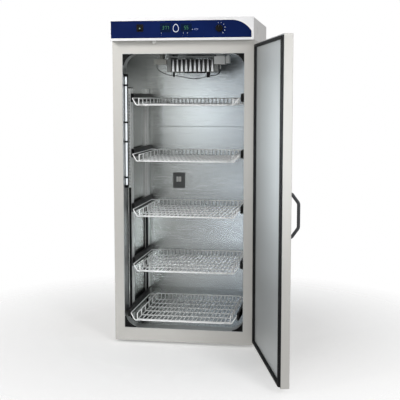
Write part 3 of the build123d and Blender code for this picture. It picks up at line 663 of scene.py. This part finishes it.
def build_panel_marks():
    """White dots by the displays, the dot scale of the thermostat, and a faint oval print."""
    y0, y1 = FILM_FACE - PRINT_T, FILM_FACE + 0.1 * MM
    work = bmesh.new()
    for node in ("key_set", "key_down", "key_up"):
        low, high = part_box(node)
        flat_shape(work, disc_outline((low.x + high.x) / 2, high.z + 3.6 * MM, 1.6 * MM), y0, y1)
    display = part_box("display_windows")
    flat_shape(work, disc_outline(display[1].x + 4 * MM, display[0].z + 14 * MM, 1.6 * MM), y0, y1)
    for i in range(6):
        angle = math.radians(-51 + 30.6 * i)
        reach = 29 * MM
        x = KNOB_CENTRE.x + reach * math.cos(angle)
        z = KNOB_CENTRE.z + reach * math.sin(angle)
        flat_shape(work, disc_outline(x, z, (2.2 - 0.16 * i) * MM), y0, y1)
    piece("panel_dots", from_bmesh("panel_dots", work), "marks", "cabinet", False)

    work = bmesh.new()
    x, z = display[1].x + 23 * MM, display[0].z + 15 * MM
    steps = 28
    outer, inner = disc_outline(x, z, 10 * MM, 0.42, steps), disc_outline(x, z, 8.6 * MM, 0.36, steps)
    for i in range(steps):
        j = (i + 1) % steps
        flat_shape(work, [outer[i], outer[j], inner[j], inner[i]], y0, y1)
    piece("panel_oval", from_bmesh("panel_oval", work), "print", "cabinet", False)


def build_egg_mark():
    """Plain egg outline between the displays."""
    y0, y1 = FILM_FACE - PRINT_T, FILM_FACE + 0.1 * MM
    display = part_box("display_windows")
    x = (display[0].x + display[1].x) / 2
    z = (display[0].z + display[1].z) / 2 - 2 * MM
    steps = 36

    def egg(scale):
        out = []
        for i in range(steps):
            t = 2 * math.pi * i / steps
            rise = math.sin(t)
            width = 15 * MM * (1 - 0.16 * rise)
            out.append((x + scale * width * math.cos(t), z + scale * 21 * MM * rise))
        return out

    work = bmesh.new()
    outer, inner = egg(1.0), egg(0.84)
    for i in range(steps):
        j = (i + 1) % steps
        flat_shape(work, [outer[i], outer[j], inner[j], inner[i]], y0, y1)
    piece("egg_mark", from_bmesh("egg_mark", work), "marks", "cabinet", False)


def build_control_details():
    """Pointer line on the knob and the lit lens of the rocker."""
    low = KNOB[0]
    work = bmesh.new()
    x0, x1 = KNOB_CENTRE.x - 1.0 * MM, KNOB_CENTRE.x + 1.0 * MM
    z0, z1 = KNOB_CENTRE.z + 4 * MM, KNOB_CENTRE.z + 14.5 * MM
    pointer = [(x0, z0), (x1, z0), (x1, z1), (x0, z1)]
    flat_shape(work, pointer, low.y, low.y + 0.4 * MM)
    piece("knob_pointer", from_bmesh("knob_pointer", work), "marks", "knob", False)

    low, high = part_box("main_switch_rocker")
    middle = (low + high) / 2
    work = bmesh.new()
    half = 2.6 * MM
    top = low.z + 0.25 * (high.z - low.z)
    lens = [(middle.x - half, top), (middle.x + half, top), (middle.x + half, top + 2 * half),
            (middle.x - half, top + 2 * half)]
    flat_shape(work, lens, low.y - 0.2 * MM, low.y + 3.5 * MM)
    piece("rocker_lens", from_bmesh("rocker_lens", work), "glint", "rocker", False)


# ---------------------------------------------------------------- stage, lights and camera
def build_stage():
    """Pale floor that fades into the white room some metres out."""
    bpy.ops.mesh.primitive_plane_add(size=20, location=(0, 0, 0))
    floor = bpy.context.object
    floor.name = "floor"
    paint = Paint("floor_pale", (0.90, 0.90, 0.90), 0.8)
    paint.set("Specular IOR Level", 0.2)
    paint.tint(paint.noise(0.6, 3), 0.01)
    reach = paint.node("ShaderNodeVectorMath", operation="LENGTH")
    paint.link(paint.coords, reach.inputs[0])
    paint.link(paint.mapped(reach.outputs["Value"], 1.0, 0.0, 0.7, 1.7), paint.shader.inputs["Alpha"])
    paint.set("Emission Color", (1, 1, 1, 1))
    paint.set("Emission Strength", 0.2)
    floor.data.materials.append(paint.material)


def add_light(name, place, target, size, power, colour=(1, 1, 1), spread=180):
    """Rectangular soft box; the spread is the angle of its beam in degrees."""
    data = bpy.data.lights.new(name, "AREA")
    data.spread = math.radians(spread)
    data.shape = "RECTANGLE"
    data.size, data.size_y = size
    data.energy = power
    data.color = colour
    light = bpy.data.objects.new(name, data)
    light.location = place
    light.rotation_euler = (Vector(target) - Vector(place)).to_track_quat("-Z", "Y").to_euler()
    bpy.context.scene.collection.objects.link(light)


ROOM_LIGHT = 0.50        # how bright the white room is as a light


def build_world():
    """White behind the object, and dimmer as the light and the mirror image that fall on it."""
    world = bpy.data.worlds.new("studio")
    bpy.context.scene.world = world
    world.use_nodes = True
    tree = world.node_tree
    background = tree.nodes["Background"]
    background.inputs["Color"].default_value = (1, 1, 1, 1)
    rays = tree.nodes.new("ShaderNodeLightPath")
    level = tree.nodes.new("ShaderNodeMapRange")
    level.inputs["To Min"].default_value = ROOM_LIGHT
    level.inputs["To Max"].default_value = 1.0
    tree.links.new(rays.outputs["Is Camera Ray"], level.inputs["Value"])
    tree.links.new(level.outputs["Result"], background.inputs["Strength"])


def build_lights():
    """A key at the upper left, a fill at the right, and narrower lights for the chamber and door."""
    cool, warm = (0.92, 0.97, 1.0), (1.0, 0.985, 0.96)
    add_light("key", (-1.5, -2.6, 2.6), (-0.55, -0.3, 1.75), (0.8, 0.8), 10, warm, 80)
    add_light("fill", (2.2, -3.4, 1.9), (0.0, -0.3, 1.0), (0.8, 0.8), 38)
    add_light("high", (0.2, -4.0, 3.0), (0.0, 0.0, 0.9), (0.7, 0.5), 10)
    add_light("wall_box", (-0.72, -4.0, 1.22), (-0.05, 0.3, 1.2), (0.32, 0.5), 0.3, cool, 60)
    add_light("right_box", (-0.24, -4.0, 0.02), (0.2, 0.3, 0.4), (0.12, 0.45), 0.08, cool, 40)
    add_light("low_beam", (0.85, -3.4, 0.06), (-0.32, 0.0, 0.18), (0.3, 0.6), 0.14, cool, 16)
    add_light("door_beam", (-1.7, -2.3, 1.4), (0.62, -0.95, 1.1), (0.2, 0.5), 4.4, cool, 30)
    bpy.context.scene.view_settings.view_transform = "Standard"


def build_camera():
    data = bpy.data.cameras.new("camera")
    data.lens = 80.97
    data.sensor_width = 36
    camera = bpy.data.objects.new("camera", data)
    camera.location = (0.855, -4.972, 1.337)
    camera.rotation_euler = (math.radians(83.35), 0, math.radians(9.33))
    bpy.context.scene.collection.objects.link(camera)
    bpy.context.scene.camera = camera


build_camera()
build_stage()
build_world()
build_lights()
finish_cad_nodes()
build_shelves()
build_seal()
build_rivets()
build_screws()
build_displays()
build_panel_marks()
build_egg_mark()
build_control_details()
